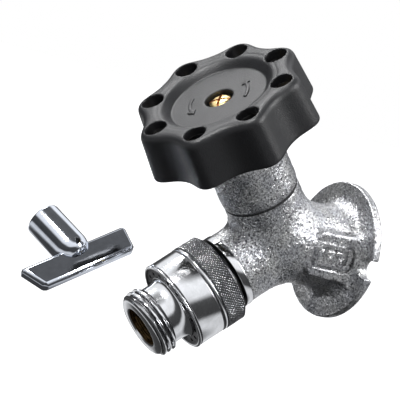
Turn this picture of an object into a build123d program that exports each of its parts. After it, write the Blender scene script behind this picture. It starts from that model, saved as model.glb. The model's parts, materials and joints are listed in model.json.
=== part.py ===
"""Hose bib: flanged angle valve with a handwheel, a hose-thread vacuum breaker and a loose tee key.

Frame: the origin is the centre of the flange's wall face, on the inlet axis. +Y runs into the wall,
+Z is up and +X is to the right for someone facing the wall. The stem axis rises away from the wall
and the outlet axis falls away from it; both start where they cross the inlet axis.
"""
from build123d import *
from math import cos, pi, radians, sin
import os

os.makedirs("parts", exist_ok=True)

# ---- axes --------------------------------------------------------------------------------------
junction_distance = 28.8      # wall face to the point where the three axes cross
stem_rise_angle = 44.0        # stem axis above the horizontal
outlet_drop_angle = 44.0      # outlet axis below the horizontal

# ---- clearances --------------------------------------------------------------------------------
running_gap = 0.08            # radial, a rod turning or sliding in its bore
thread_gap = 0.06             # radial, between a male thread's crest and its female thread
seat_gap = 0.1                # between a moving sealing face and its seat
socket_gap = 0.06             # each side of a square driver in its socket
shell_gap = 0.1               # between the breaker's spigot and its shell
hub_gap = 2.0                 # handwheel hub above the packing nut, valve closed

# ---- wall flange, inlet hub and its pad --------------------------------------------------------
flange_radius = 27.0
flange_draft = 0.8            # the front face is this much smaller in radius
flange_face_radius = flange_radius - flange_draft
flange_thickness = 3.4
flange_root_radius = 4.0      # fillet between flange and hub
inlet_bore_radius = 12.2      # 3/4 in pipe thread, at its crests
inlet_bore_depth = 14.0
hub_wall = 4.3
hub_radius = inlet_bore_radius + hub_wall
slot_width = 7.4              # two screw slots, open at the rim
slot_land = 4.5               # between the hub and the inner end of a slot
slot_inner_reach = hub_radius + slot_land
pad_length = 20.2             # flat pad on the side of the hub
pad_height = 18.9
pad_lift = 0.4                # pad face outside the hub's round
pad_reach = hub_radius + pad_lift
pad_centre_distance = 14.5    # pad centre from the wall face
frame_length = 16.4           # raised frame on the pad
frame_height = 8.6
frame_band = 1.0
frame_lift = 0.6

# ---- waterways inside the casting --------------------------------------------------------------
passage_radius = 5.5
inlet_passage_drop = 9.0      # inlet passage below the inlet axis
seat_ring_radius = 9.0
chamber_ledge = 1.5           # between the seat ring's edge and the chamber's wall
chamber_radius = seat_ring_radius + chamber_ledge
seat_level = -6.0             # floor of the chamber, along the stem axis
pocket_depth = 6.0            # pocket under the seat

# ---- stem branch and outlet branch of the casting ----------------------------------------------
stem_branch_radius = 15.1
stem_branch_length = 21.5
nose_thread_radius = 13.3     # 3/4 in garden-hose thread with truncated crests, under the breaker
nose_length = 9.6
outlet_branch_land = 1.4      # outlet branch outside the thread
outlet_branch_radius = nose_thread_radius + outlet_branch_land
outlet_branch_length = 24.0
collar_lift = 0.3
collar_radius = outlet_branch_radius + collar_lift     # machined collar behind the hose thread
collar_length = 3.0
hose_thread_radius = 13.49    # 3/4 in garden-hose thread, full crest
hose_thread_pitch = 2.209
hose_thread_depth = 1.2
thread_crest_share = 0.3      # width of a thread's crest, as a share of its pitch
thread_ridge_share = 0.8      # width of its ridge at the root
thread_relief = 0.02          # plain root before the first ridge

# ---- seat and washer ---------------------------------------------------------------------------
seat_ring_thickness = 3.0
seat_bead_height = 0.5
seat_bead_width = 1.2
washer_margin = 0.9           # washer outside the seat's bead
washer_radius = passage_radius + seat_bead_width + washer_margin
washer_thickness = 3.0
holder_wall = 0.9
holder_cover = 1.4            # how far the holder's rim comes down the washer
holder_floor = 2.6
holder_stub_radius = 2.5
holder_stub_length = 4.5
washer_screw_radius = 1.8
washer_screw_head_radius = 3.6
washer_screw_head_height = 1.6

# ---- stem --------------------------------------------------------------------------------------
stem_radius = 5.0
stem_thread_depth = 2.0
stem_thread_radius = stem_radius + stem_thread_depth
stem_thread_length = 26.0
stem_travel = 6.35            # two turns of the stem's 3.175 mm lead
stem_end_room = 2.0           # left above the stem's thread when the valve is fully open
driver_share = 1.38           # side of the square driver, as a share of the stem's radius
driver_side = driver_share * stem_radius

# ---- bonnet and packing ------------------------------------------------------------------------
gasket_thickness = 0.6
gasket_inset = 0.3            # gasket's edge inside the casting's
bonnet_radius = 15.4
bonnet_length = 19.6
bonnet_spigot_length = 9.0    # spigot inside the chamber
packing_width = 2.6
packing_radius = stem_radius + packing_width
neck_wall = 2.4
bonnet_neck_radius = packing_radius + neck_wall
bonnet_neck_length = 10.0
packing_height = 5.5
gland_length = 6.5
packing_nut_wall = 3.0
packing_nut_flats = 2 * (bonnet_neck_radius + packing_nut_wall)
packing_nut_roof = 2.0
packing_nut_lift = 2.0        # nut's lower face above the bonnet's shoulder

# ---- handwheel ---------------------------------------------------------------------------------
lobe_count = 8
lobe_phase = -5.2             # first lobe, from +X about the stem axis
lobe_radius_top = 33.2
lobe_swing = 3.8              # from a lobe's crest to a valley
valley_radius_top = lobe_radius_top - lobe_swing
lobe_flare = 2.0              # how far a crest swings out towards the wheel's lower edge
valley_flare = 1.2
lobe_radius_bottom = lobe_radius_top + lobe_flare
valley_radius_bottom = valley_radius_top + valley_flare
wheel_depth = 20.0
wheel_wall = 3.0
wheel_rim_thickness = 3.6
wheel_hole_radius = 4.3
wheel_hole_inset = 6.5        # from a lobe's crest to its hole's centre
wheel_hole_circle = lobe_radius_top - wheel_hole_inset
dish_inset = 9.8              # from a lobe's crest to the lip of the dished top
dish_lip_radius = lobe_radius_top - dish_inset
dish_slope = 4.4              # from the lip to the flat floor
dish_radius = dish_lip_radius - dish_slope
dish_depth = 3.2
wheel_plate = 4.0
plate_land = 2.5              # plate under the dish, outside its flat floor
plate_radius = dish_radius + plate_land
wheel_hub_radius = 9.0
wheel_hub_length = 4.4
wheel_rib_thickness = 2.0
wheel_rib_overlap = 1.0       # how far a rib runs into the hub
screw_recess_radius = 5.45
screw_recess_depth = 3.0
screw_seat_thickness = 2.0
handle_screw_radius = 2.0
handle_screw_length = 9.0     # below its head
screw_end_room = 1.0          # left under the screw's tip
handle_head_radius = 4.6
handle_head_height = 2.4
handle_slot_width = 1.2
handle_slot_length = 6.0
handle_slot_depth = 1.1

# ---- vacuum breaker ----------------------------------------------------------------------------
thread_show = 2.0             # hose thread left showing above the breaker
breaker_wall = 2.69           # between its thread and its spigot's outside
spigot_radius = nose_thread_radius + thread_gap + breaker_wall
shell_bore = spigot_radius + shell_gap
shell_wall = 1.8
shell_radius = shell_bore + shell_wall
knurl_lift = 0.1
knurl_radius = shell_radius + knurl_lift
knurl_length = 9.1
hose_washer_thickness = 2.0
breaker_floor = 5.0
breaker_waterway = 7.5
shell_length = 13.3
shell_end_wall = 1.5
shell_lip_height = 0.35
shell_lip_width = 1.1
seal_section = 1.36           # O-ring section diameter
seal_groove_width = 2.0
seal_groove_start = 1.5       # from the breaker's knurled part
set_screw_radius = 1.5
set_screw_angle = 62.0        # about the outlet axis, from +X towards the stem
set_screw_sink = 0.4          # sheared end below the knurl
diaphragm_thickness = 1.2
diaphragm_hole = 4.0
neck_relief = 0.49            # neck under the root of the hose thread
nozzle_neck_radius = hose_thread_radius - hose_thread_depth - neck_relief
nozzle_wall = 1.0
nozzle_chamber_radius = nozzle_neck_radius - nozzle_wall
nozzle_chamber_depth = 8.3
nozzle_shoulder_lift = 1.2
nozzle_shoulder_radius = nozzle_neck_radius + nozzle_shoulder_lift
nozzle_gap = 0.1              # nozzle shoulder in the shell's end wall
nozzle_length = 14.5          # from the shell's end face to the tip
nozzle_cone_length = 5.0
nozzle_thread_length = 7.5
nozzle_bore_radius = 7.6
nozzle_mouth_radius = 8.0
nozzle_mouth_depth = 6.0
nozzle_tip_chamfer = 1.0
vent_count = 16
vent_radius = 0.8
vent_circle = (nozzle_shoulder_radius + shell_bore) / 2

# ---- check valve -------------------------------------------------------------------------------
check_disc_inset = 1.8        # disc and spider ring inside the nozzle's chamber wall
check_disc_radius = nozzle_chamber_radius - check_disc_inset
check_disc_thickness = 2.0
check_stem_radius = 1.5
check_stem_bite = 1.2         # stem inside the disc
check_tab_width = 5.0
check_tab_thickness = 1.4
check_tab_length = 4.0
check_tab_sink = 6.8          # tab below the nozzle's tip
spider_thickness = 1.2
spider_hub_radius = 2.9
spider_rim_radius = check_disc_radius
spoke_count = 3
spoke_width = 1.6
spring_radius = 4.3
spring_wire_radius = 0.4
spring_turns = 3

# ---- tee key -----------------------------------------------------------------------------------
key_position = (-27.1, -93.9, -31.1)   # centre of the blade, where the loose key lies
key_rotation = (18.9, 28.1, 105.6)     # turns about X, Y and Z
key_long_edge = 52.6
key_slant = 3.8
key_width = 11.7
key_thickness = 5.0
key_bevel = 1.1
key_mouth_radius = stem_radius
key_socket_wall = 2.2
key_socket_radius = key_mouth_radius + key_socket_wall
key_socket_length = 18.7
key_shoulder_start = 1.0      # the socket's shoulder tapers into the blade from here
key_shoulder_radius = 2.3
key_shoulder_rise = 5.0
key_mouth_round = 1.6
key_mouth_depth = 6.0
key_square_depth = 14.0

# ---- planes of the three axes ------------------------------------------------------------------
junction = (0, -junction_distance, 0)
stem_direction = (0, -cos(radians(stem_rise_angle)), sin(radians(stem_rise_angle)))
outlet_direction = (0, -cos(radians(outlet_drop_angle)), -sin(radians(outlet_drop_angle)))
inlet_plane = Plane(origin=(0, 0, 0), x_dir=(1, 0, 0), z_dir=(0, -1, 0))
stem_plane = Plane(origin=junction, x_dir=(1, 0, 0), z_dir=stem_direction)
outlet_plane = Plane(origin=junction, x_dir=(1, 0, 0), z_dir=outlet_direction)
key_plane = Plane(Location(key_position, key_rotation))

# ---- levels along the stem axis ----------------------------------------------------------------
seat_floor = seat_level - seat_ring_thickness
bead_top = seat_level + seat_bead_height
washer_face = bead_top + seat_gap
washer_back = washer_face + washer_thickness
holder_top = washer_back + holder_floor
stem_bottom = holder_top + seat_gap
bonnet_base = stem_branch_length + gasket_thickness
bonnet_shoulder = bonnet_base + bonnet_length
neck_top = bonnet_shoulder + bonnet_neck_length
packing_floor = bonnet_shoulder
gland_base = packing_floor + packing_height
gland_top = gland_base + gland_length
nut_top = gland_top + packing_nut_roof
wheel_hub_base = nut_top + hub_gap
wheel_plate_base = wheel_hub_base + wheel_hub_length
dish_level = wheel_plate_base + wheel_plate
rim_level = dish_level + dish_depth
wheel_bottom = rim_level - wheel_depth
recess_floor = dish_level - screw_recess_depth
socket_ceiling = recess_floor - screw_seat_thickness
stem_top = socket_ceiling - 2 * seat_gap
stem_bore_radius = stem_radius + running_gap
stem_thread_bore = stem_thread_radius + running_gap
stem_thread_room = stem_bottom + stem_thread_length + stem_travel + stem_end_room

# ---- levels along the outlet axis --------------------------------------------------------------
collar_end = outlet_branch_length + collar_length
nose_end = collar_end + nose_length
breaker_start = collar_end + thread_show
knurl_end = breaker_start + knurl_length
breaker_thread_floor = nose_end + hose_washer_thickness
spigot_end = breaker_thread_floor + breaker_floor
shell_start = knurl_end + nozzle_gap
shell_end = shell_start + shell_length
end_wall_start = shell_end - shell_end_wall
diaphragm_end = spigot_end + diaphragm_thickness
chamber_floor = diaphragm_end + nozzle_chamber_depth
tip = shell_end + nozzle_length
nozzle_thread_start = tip - nozzle_thread_length
check_top = diaphragm_end + seat_gap
check_bottom = check_top + check_disc_thickness
check_stem_top = check_bottom - check_stem_bite
tab_end = tip - check_tab_sink
tab_start = tab_end - check_tab_length
spider_top = chamber_floor - spider_thickness


def rod(plane, start, end, radius, mode=Mode.ADD):
    """A round bar along a plane's normal, between two distances from the plane."""
    with BuildSketch(plane.offset(start)) as outline:
        Circle(radius)
    extrude(outline.sketch, amount=end - start, mode=mode)


def tube(plane, start, end, radius, bore):
    """A round tube along a plane's normal."""
    with BuildSketch(plane.offset(start)) as outline:
        Circle(radius)
        Circle(bore, mode=Mode.SUBTRACT)
    extrude(outline.sketch, amount=end - start)


def turned(plane, points, mode=Mode.ADD):
    """Revolve a closed outline of (radius, distance) points about a plane's normal."""
    section = Plane(origin=plane.origin, x_dir=plane.x_dir, z_dir=plane.x_dir.cross(plane.z_dir))
    with BuildSketch(section) as outline:
        with BuildLine():
            Polyline(*points, close=True)
        make_face()
    revolve(outline.sketch, axis=Axis(plane.origin, plane.z_dir), mode=mode)


def threaded_outline(start, end, radius, depth, pitch):
    """Points of (radius, distance) along a male thread: ring grooves one pitch apart."""
    points = [(radius - depth, start)]
    half_crest, half_ridge = thread_crest_share * pitch / 2, thread_ridge_share * pitch / 2
    crest = start + half_ridge + thread_relief
    while crest + half_ridge < end:
        points += [(radius - depth, crest - half_ridge), (radius, crest - half_crest)]
        points += [(radius, crest + half_crest), (radius - depth, crest + half_ridge)]
        crest += pitch
    return points + [(radius - depth, end)]


def lobed(level, lobe, valley):
    """Face of the wheel's outline: a smooth ring that swings out once for each lobe."""
    middle, swing = (lobe + valley) / 2, (lobe - valley) / 2
    points = []
    for step in range(4 * lobe_count):
        turn = 2 * pi * step / (4 * lobe_count)
        reach = middle + swing * cos(lobe_count * turn)
        angle = turn + radians(lobe_phase)
        points.append((reach * cos(angle), reach * sin(angle)))
    with BuildSketch(stem_plane.offset(level)) as outline:
        with BuildLine():
            Spline(*points, periodic=True)
        make_face()
    return outline.sketch


# ---- casting -----------------------------------------------------------------------------------
with BuildPart() as body_casting:
    root_middle = flange_root_radius * (1 - cos(radians(45)))
    turned(inlet_plane, [
        (0, 0), (flange_radius, 0), (flange_face_radius, flange_thickness),
        (hub_radius + flange_root_radius, flange_thickness),
        (hub_radius + root_middle, flange_thickness + root_middle),
        (hub_radius, flange_thickness + flange_root_radius), (hub_radius, junction_distance),
        (0, junction_distance),
    ])
    with Locations(junction):
        Sphere(hub_radius)
    rod(stem_plane, 0, stem_branch_length, stem_branch_radius)
    rod(outlet_plane, 0, outlet_branch_length, outlet_branch_radius)
    rod(outlet_plane, outlet_branch_length, collar_end, collar_radius)
    nose = threaded_outline(collar_end, nose_end, nose_thread_radius, hose_thread_depth, hose_thread_pitch)
    turned(outlet_plane, [(0, collar_end)] + nose + [(0, nose_end)])
    pad_plane = Plane(origin=(0, -pad_centre_distance, 0), x_dir=(0, 1, 0), z_dir=(1, 0, 0))
    with BuildSketch(pad_plane):
        RectangleRounded(pad_length, pad_height, pad_height / 4)
    extrude(amount=pad_reach)
    with BuildSketch(pad_plane.offset(pad_reach)):
        RectangleRounded(frame_length, frame_height, frame_height / 3)
        inner = frame_height - 2 * frame_band
        RectangleRounded(frame_length - 2 * frame_band, inner, inner / 3, mode=Mode.SUBTRACT)
    extrude(amount=frame_lift)
    slot_radius = slot_width / 2
    with BuildSketch(inlet_plane):
        for side in (-1, 1):
            with Locations((side * (slot_inner_reach + slot_radius), 0)):
                Circle(slot_radius)
            with Locations((side * (slot_inner_reach + slot_radius + flange_radius / 2), 0)):
                Rectangle(flange_radius, slot_width)
    extrude(amount=flange_thickness + flange_root_radius, mode=Mode.SUBTRACT)
    rod(inlet_plane, 0, inlet_bore_depth, inlet_bore_radius, Mode.SUBTRACT)
    drop_plane = Plane(origin=(0, 0, -inlet_passage_drop), x_dir=(1, 0, 0), z_dir=(0, -1, 0))
    pocket_end = seat_floor - pocket_depth
    passage_end = junction_distance + seat_floor * cos(radians(stem_rise_angle))
    rod(drop_plane, inlet_bore_depth, passage_end, passage_radius, Mode.SUBTRACT)
    rod(stem_plane, pocket_end, seat_floor, passage_radius, Mode.SUBTRACT)
    rod(stem_plane, seat_floor, seat_level, seat_ring_radius, Mode.SUBTRACT)
    rod(stem_plane, seat_level, stem_branch_length, chamber_radius, Mode.SUBTRACT)
    rod(outlet_plane, 0, nose_end, passage_radius, Mode.SUBTRACT)
body_casting.part.label = "body_casting"
export_step(body_casting.part, "parts/body_casting.step")

# ---- seat, washer, holder and its screw --------------------------------------------------------
with BuildPart() as seat_ring:
    bead_outer = passage_radius + seat_bead_width
    turned(stem_plane, [
        (passage_radius, seat_floor), (seat_ring_radius - thread_gap, seat_floor),
        (seat_ring_radius - thread_gap, seat_level), (bead_outer + seat_bead_height, seat_level),
        (bead_outer, bead_top), (passage_radius, bead_top),
    ])
seat_ring.part.label = "seat_ring"
export_step(seat_ring.part, "parts/seat_ring.step")

with BuildPart() as seat_washer:
    tube(stem_plane, washer_face, washer_back, washer_radius, washer_screw_radius + thread_gap)
seat_washer.part.label = "seat_washer"
export_step(seat_washer.part, "parts/seat_washer.step")

with BuildPart() as washer_holder:
    rim_radius = washer_radius + holder_wall
    rod(stem_plane, washer_back - holder_cover, holder_top, rim_radius)
    rod(stem_plane, washer_back - holder_cover, washer_back, washer_radius + thread_gap, Mode.SUBTRACT)
    rod(stem_plane, holder_top, holder_top + holder_stub_length, holder_stub_radius)
    screw_room = washer_screw_radius + thread_gap
    rod(stem_plane, washer_back, holder_top, screw_room, Mode.SUBTRACT)
washer_holder.part.label = "washer_holder"
export_step(washer_holder.part, "parts/washer_holder.step")

with BuildPart() as washer_screw:
    head_base = washer_face - washer_screw_head_height
    rod(stem_plane, head_base, washer_face, washer_screw_head_radius)
    rod(stem_plane, washer_face, holder_top, washer_screw_radius)
    with BuildSketch(stem_plane.offset(head_base)):
        Rectangle(2 * washer_screw_head_radius, handle_slot_width)
    extrude(amount=washer_screw_head_height / 2, mode=Mode.SUBTRACT)
washer_screw.part.label = "washer_screw"
export_step(washer_screw.part, "parts/washer_screw.step")

# ---- stem --------------------------------------------------------------------------------------
with BuildPart() as stem:
    thread_top = stem_bottom + stem_thread_length
    rod(stem_plane, stem_bottom, thread_top, stem_thread_radius)
    rod(stem_plane, thread_top, wheel_hub_base, stem_radius)
    with BuildSketch(stem_plane.offset(wheel_hub_base)):
        Rectangle(driver_side, driver_side)
    extrude(amount=stem_top - wheel_hub_base)
    stub_room = holder_stub_radius + running_gap
    rod(stem_plane, stem_bottom, holder_top + holder_stub_length + seat_gap, stub_room, Mode.SUBTRACT)
    tapped_depth = handle_screw_length - screw_seat_thickness + screw_end_room
    rod(stem_plane, stem_top - tapped_depth, stem_top, handle_screw_radius + thread_gap, Mode.SUBTRACT)
stem.part.label = "stem"
export_step(stem.part, "parts/stem.step")

# ---- bonnet, gasket and packing ----------------------------------------------------------------
with BuildPart() as bonnet_gasket:
    tube(stem_plane, stem_branch_length, bonnet_base, stem_branch_radius - gasket_inset, chamber_radius)
bonnet_gasket.part.label = "bonnet_gasket"
export_step(bonnet_gasket.part, "parts/bonnet_gasket.step")

with BuildPart() as bonnet:
    spigot_base = stem_branch_length - bonnet_spigot_length
    rod(stem_plane, spigot_base, bonnet_base, chamber_radius - thread_gap)
    rod(stem_plane, bonnet_base, bonnet_shoulder, bonnet_radius)
    rod(stem_plane, bonnet_shoulder, neck_top, bonnet_neck_radius)
    rod(stem_plane, spigot_base, stem_thread_room, stem_thread_bore, Mode.SUBTRACT)
    rod(stem_plane, stem_thread_room, neck_top, stem_bore_radius, Mode.SUBTRACT)
    rod(stem_plane, packing_floor, neck_top, packing_radius, Mode.SUBTRACT)
bonnet.part.label = "bonnet"
export_step(bonnet.part, "parts/bonnet.step")

with BuildPart() as packing_ring:
    tube(stem_plane, packing_floor, gland_base, packing_radius - thread_gap, stem_bore_radius)
packing_ring.part.label = "packing_ring"
export_step(packing_ring.part, "parts/packing_ring.step")

with BuildPart() as packing_gland:
    tube(stem_plane, gland_base, gland_top, packing_radius - thread_gap, stem_bore_radius)
packing_gland.part.label = "packing_gland"
export_step(packing_gland.part, "parts/packing_gland.step")

with BuildPart() as packing_nut:
    nut_base = bonnet_shoulder + packing_nut_lift
    with BuildSketch(stem_plane.offset(nut_base)):
        RegularPolygon(packing_nut_flats / 2, 6, major_radius=False)
    extrude(amount=nut_top - nut_base)
    rod(stem_plane, nut_base, gland_top, bonnet_neck_radius + thread_gap, Mode.SUBTRACT)
    rod(stem_plane, gland_top, nut_top, stem_bore_radius + thread_gap, Mode.SUBTRACT)
packing_nut.part.label = "packing_nut"
export_step(packing_nut.part, "parts/packing_nut.step")

# ---- handwheel and its screw -------------------------------------------------------------------
with BuildPart() as handwheel:
    loft(sections=[
        lobed(wheel_bottom, lobe_radius_bottom, valley_radius_bottom),
        lobed(rim_level, lobe_radius_top, valley_radius_top),
    ])
    ceiling = rim_level - wheel_rim_thickness
    loft(sections=[
        lobed(wheel_bottom, lobe_radius_bottom - wheel_wall, valley_radius_bottom - wheel_wall),
        lobed(ceiling, lobe_radius_top - wheel_wall, valley_radius_top - wheel_wall),
    ], mode=Mode.SUBTRACT)
    rod(stem_plane, wheel_plate_base, rim_level, plate_radius)
    rod(stem_plane, wheel_hub_base, wheel_plate_base, wheel_hub_radius)
    rib_start, rib_end = wheel_hub_radius - wheel_rib_overlap, valley_radius_top - wheel_wall / 2
    with BuildSketch(stem_plane.offset(wheel_hub_base)):
        with PolarLocations((rib_start + rib_end) / 2, lobe_count, lobe_phase + 180 / lobe_count):
            Rectangle(rib_end - rib_start, wheel_rib_thickness)
    extrude(amount=ceiling - wheel_hub_base)
    turned(stem_plane, [
        (0, dish_level), (dish_radius, dish_level),
        ((dish_radius + dish_lip_radius) / 2, dish_level + dish_depth / 4),
        (dish_lip_radius, rim_level), (0, rim_level),
    ], Mode.SUBTRACT)
    with BuildSketch(stem_plane.offset(wheel_bottom)):
        with PolarLocations(wheel_hole_circle, lobe_count, lobe_phase):
            Circle(wheel_hole_radius)
    extrude(amount=wheel_depth, mode=Mode.SUBTRACT)
    with BuildSketch(stem_plane.offset(wheel_hub_base)):
        Rectangle(driver_side + 2 * socket_gap, driver_side + 2 * socket_gap)
    extrude(amount=socket_ceiling - wheel_hub_base, mode=Mode.SUBTRACT)
    rod(stem_plane, socket_ceiling, recess_floor, handle_screw_radius + thread_gap, Mode.SUBTRACT)
    rod(stem_plane, recess_floor, dish_level, screw_recess_radius, Mode.SUBTRACT)
handwheel.part.label = "handwheel"
export_step(handwheel.part, "parts/handwheel.step")

with BuildPart() as handle_screw:
    head_top = recess_floor + handle_head_height
    rod(stem_plane, recess_floor - handle_screw_length, recess_floor, handle_screw_radius)
    rod(stem_plane, recess_floor, head_top, handle_head_radius)
    with BuildSketch(stem_plane.offset(head_top - handle_slot_depth)):
        for turn in (45, 135):
            Rectangle(handle_slot_length, handle_slot_width, rotation=turn)
    extrude(amount=handle_slot_depth, mode=Mode.SUBTRACT)
handle_screw.part.label = "handle_screw"
export_step(handle_screw.part, "parts/handle_screw.step")

# ---- vacuum breaker: threaded body, washer, set screw, shell and seals --------------------------
screw_turn = radians(set_screw_angle)
screw_level = breaker_start + knurl_length / 2
screw_out = outlet_plane.x_dir * cos(screw_turn) + outlet_plane.y_dir * sin(screw_turn)
screw_plane = Plane(
    origin=outlet_plane.origin + outlet_plane.z_dir * screw_level, x_dir=outlet_plane.z_dir, z_dir=screw_out
)
breaker_thread_bore = nose_thread_radius + thread_gap

with BuildPart() as breaker_body:
    rod(outlet_plane, breaker_start, knurl_end, knurl_radius)
    rod(outlet_plane, knurl_end, spigot_end, spigot_radius)
    rod(outlet_plane, breaker_start, breaker_thread_floor, breaker_thread_bore, Mode.SUBTRACT)
    rod(outlet_plane, breaker_thread_floor, spigot_end, breaker_waterway, Mode.SUBTRACT)
    groove_start = knurl_end + seal_groove_start
    with BuildSketch(outlet_plane.offset(groove_start)):
        Circle(shell_bore)
        Circle(shell_bore - seal_section - thread_gap, mode=Mode.SUBTRACT)
    extrude(amount=seal_groove_width, mode=Mode.SUBTRACT)
    rod(screw_plane, nose_thread_radius, 2 * knurl_radius, set_screw_radius, Mode.SUBTRACT)
breaker_body.part.label = "breaker_body"
export_step(breaker_body.part, "parts/breaker_body.step")

with BuildPart() as inlet_washer:
    tube(outlet_plane, nose_end, breaker_thread_floor, breaker_thread_bore - thread_gap, breaker_waterway)
inlet_washer.part.label = "inlet_washer"
export_step(inlet_washer.part, "parts/inlet_washer.step")

with BuildPart() as set_screw:
    screw_start = breaker_thread_bore + thread_gap
    rod(screw_plane, screw_start, knurl_radius - set_screw_sink, set_screw_radius - thread_gap)
set_screw.part.label = "set_screw"
export_step(set_screw.part, "parts/set_screw.step")

with BuildPart() as body_o_ring:
    section_radius = seal_section / 2
    with Locations(outlet_plane.offset(groove_start + seal_groove_width / 2)):
        Torus(shell_bore - section_radius, section_radius)
body_o_ring.part.label = "body_o_ring"
export_step(body_o_ring.part, "parts/body_o_ring.step")

with BuildPart() as breaker_shell:
    waist = shell_radius - shell_lip_height
    opening = nozzle_shoulder_radius + nozzle_gap
    turned(outlet_plane, [
        (shell_bore, shell_start), (shell_radius, shell_start), (shell_radius, shell_start + shell_lip_width),
        (waist, shell_start + shell_lip_width + shell_lip_height),
        (waist, shell_end - shell_lip_width - shell_lip_height),
        (shell_radius, shell_end - shell_lip_width), (shell_radius, shell_end - shell_lip_height),
        (waist, shell_end), (opening, shell_end), (opening, end_wall_start), (shell_bore, end_wall_start),
    ])
    with BuildSketch(outlet_plane.offset(end_wall_start)):
        with PolarLocations(vent_circle, vent_count):
            Circle(vent_radius)
    extrude(amount=shell_end_wall, mode=Mode.SUBTRACT)
breaker_shell.part.label = "breaker_shell"
export_step(breaker_shell.part, "parts/breaker_shell.step")

with BuildPart() as diaphragm:
    tube(outlet_plane, spigot_end, diaphragm_end, shell_bore - nozzle_gap, diaphragm_hole)
diaphragm.part.label = "diaphragm"
export_step(diaphragm.part, "parts/diaphragm.step")

with BuildPart() as nozzle:
    cone_end = shell_end + nozzle_cone_length
    bend_radius = nozzle_neck_radius + (nozzle_shoulder_radius - nozzle_neck_radius) / 3
    thread_end = tip - nozzle_tip_chamfer
    thread = threaded_outline(
        nozzle_thread_start, thread_end, hose_thread_radius, hose_thread_depth, hose_thread_pitch
    )
    turned(outlet_plane, [
        (nozzle_bore_radius, chamber_floor), (nozzle_chamber_radius, chamber_floor),
        (nozzle_chamber_radius, diaphragm_end), (spigot_radius, diaphragm_end),
        (spigot_radius, end_wall_start), (nozzle_shoulder_radius, end_wall_start),
        (nozzle_shoulder_radius, shell_end), (bend_radius, shell_end + nozzle_cone_length / 3),
        (nozzle_neck_radius, cone_end), (nozzle_neck_radius, nozzle_thread_start),
    ] + thread + [
        (hose_thread_radius - hose_thread_depth - nozzle_tip_chamfer, tip), (nozzle_mouth_radius, tip),
        (nozzle_mouth_radius, tip - nozzle_mouth_depth), (nozzle_bore_radius, tip - nozzle_mouth_depth),
    ])
    with BuildSketch(outlet_plane.offset(diaphragm_end)):
        with PolarLocations(vent_circle, vent_count):
            Circle(vent_radius)
    extrude(amount=end_wall_start - diaphragm_end, mode=Mode.SUBTRACT)
nozzle.part.label = "nozzle"
export_step(nozzle.part, "parts/nozzle.step")

# ---- check valve -------------------------------------------------------------------------------
with BuildPart() as check_disc:
    rod(outlet_plane, check_top, check_bottom, check_disc_radius)
    rod(outlet_plane, check_stem_top, check_bottom, check_stem_radius + thread_gap, Mode.SUBTRACT)
check_disc.part.label = "check_disc"
export_step(check_disc.part, "parts/check_disc.step")

with BuildPart() as check_stem:
    rod(outlet_plane, check_stem_top, tab_start, check_stem_radius)
    with BuildSketch(outlet_plane.offset(tab_start)):
        Rectangle(check_tab_width, check_tab_thickness)
    extrude(amount=check_tab_length)
check_stem.part.label = "check_stem"
export_step(check_stem.part, "parts/check_stem.step")

with BuildPart() as guide_spider:
    with BuildSketch(outlet_plane.offset(spider_top)):
        Circle(nozzle_chamber_radius - thread_gap)
        Circle(spider_rim_radius, mode=Mode.SUBTRACT)
        Circle(spider_hub_radius)
        spoke_start = check_stem_radius + running_gap
        spoke_end = (spider_rim_radius + nozzle_chamber_radius) / 2
        with PolarLocations((spoke_start + spoke_end) / 2, spoke_count):
            Rectangle(spoke_end - spoke_start, spoke_width)
        Circle(check_stem_radius + running_gap, mode=Mode.SUBTRACT)
    extrude(amount=spider_thickness)
guide_spider.part.label = "guide_spider"
export_step(guide_spider.part, "parts/guide_spider.step")

with BuildPart() as check_spring:
    coil_start = check_bottom + spring_wire_radius + seat_gap
    coil_length = spider_top - spring_wire_radius - coil_start - seat_gap
    coil_seat = outlet_plane.offset(coil_start)
    with BuildLine() as coil:
        Helix(coil_length / spring_turns, coil_length, spring_radius, coil_seat.origin, coil_seat.z_dir)
    with BuildSketch(Plane(origin=coil.line @ 0, z_dir=coil.line % 0)):
        Circle(spring_wire_radius)
    sweep(path=coil.line, is_frenet=True)
check_spring.part.label = "check_spring"
export_step(check_spring.part, "parts/check_spring.step")

# ---- tee key -----------------------------------------------------------------------------------
with BuildPart() as tee_key:
    half_edge, half_width = key_long_edge / 2, key_width / 2
    with BuildSketch(key_plane.offset(-key_thickness / 2)):
        with BuildLine():
            Polyline(
                (half_edge, half_width), (-half_edge, half_width),
                (-half_edge + key_slant, -half_width), (half_edge - key_slant, -half_width), close=True,
            )
        make_face()
    extrude(amount=key_thickness)
    blade_faces = tee_key.faces().filter_by(lambda face: abs(face.normal_at().dot(key_plane.z_dir)) > 0.99)
    chamfer(blade_faces.edges(), key_thickness / 2 - key_bevel)
    socket_plane = Plane(origin=key_plane.origin, x_dir=key_plane.x_dir, z_dir=key_plane.y_dir)
    mouth = half_width + key_socket_length
    shoulder_end = key_shoulder_start + key_shoulder_rise
    turned(socket_plane, [
        (0, key_shoulder_start), (key_shoulder_radius, key_shoulder_start),
        (key_socket_radius, shoulder_end), (key_socket_radius, mouth - key_mouth_round),
        (key_socket_radius - key_mouth_round / 2, mouth), (0, mouth),
    ])
    with BuildSketch(socket_plane.offset(mouth - key_square_depth)):
        Rectangle(driver_side + 2 * socket_gap, driver_side + 2 * socket_gap)
    extrude(amount=key_square_depth, mode=Mode.SUBTRACT)
    rod(socket_plane, mouth - key_mouth_depth, mouth, key_mouth_radius, Mode.SUBTRACT)
tee_key.part.label = "tee_key"
export_step(tee_key.part, "parts/tee_key.step")
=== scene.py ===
"""Looks of the hose bib: cast and polished chrome, a black handwheel, a brass screw and a loose tee key."""
import bpy
import bmesh
import json
import math
import numpy as np
from mathutils import Matrix, Vector


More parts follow.
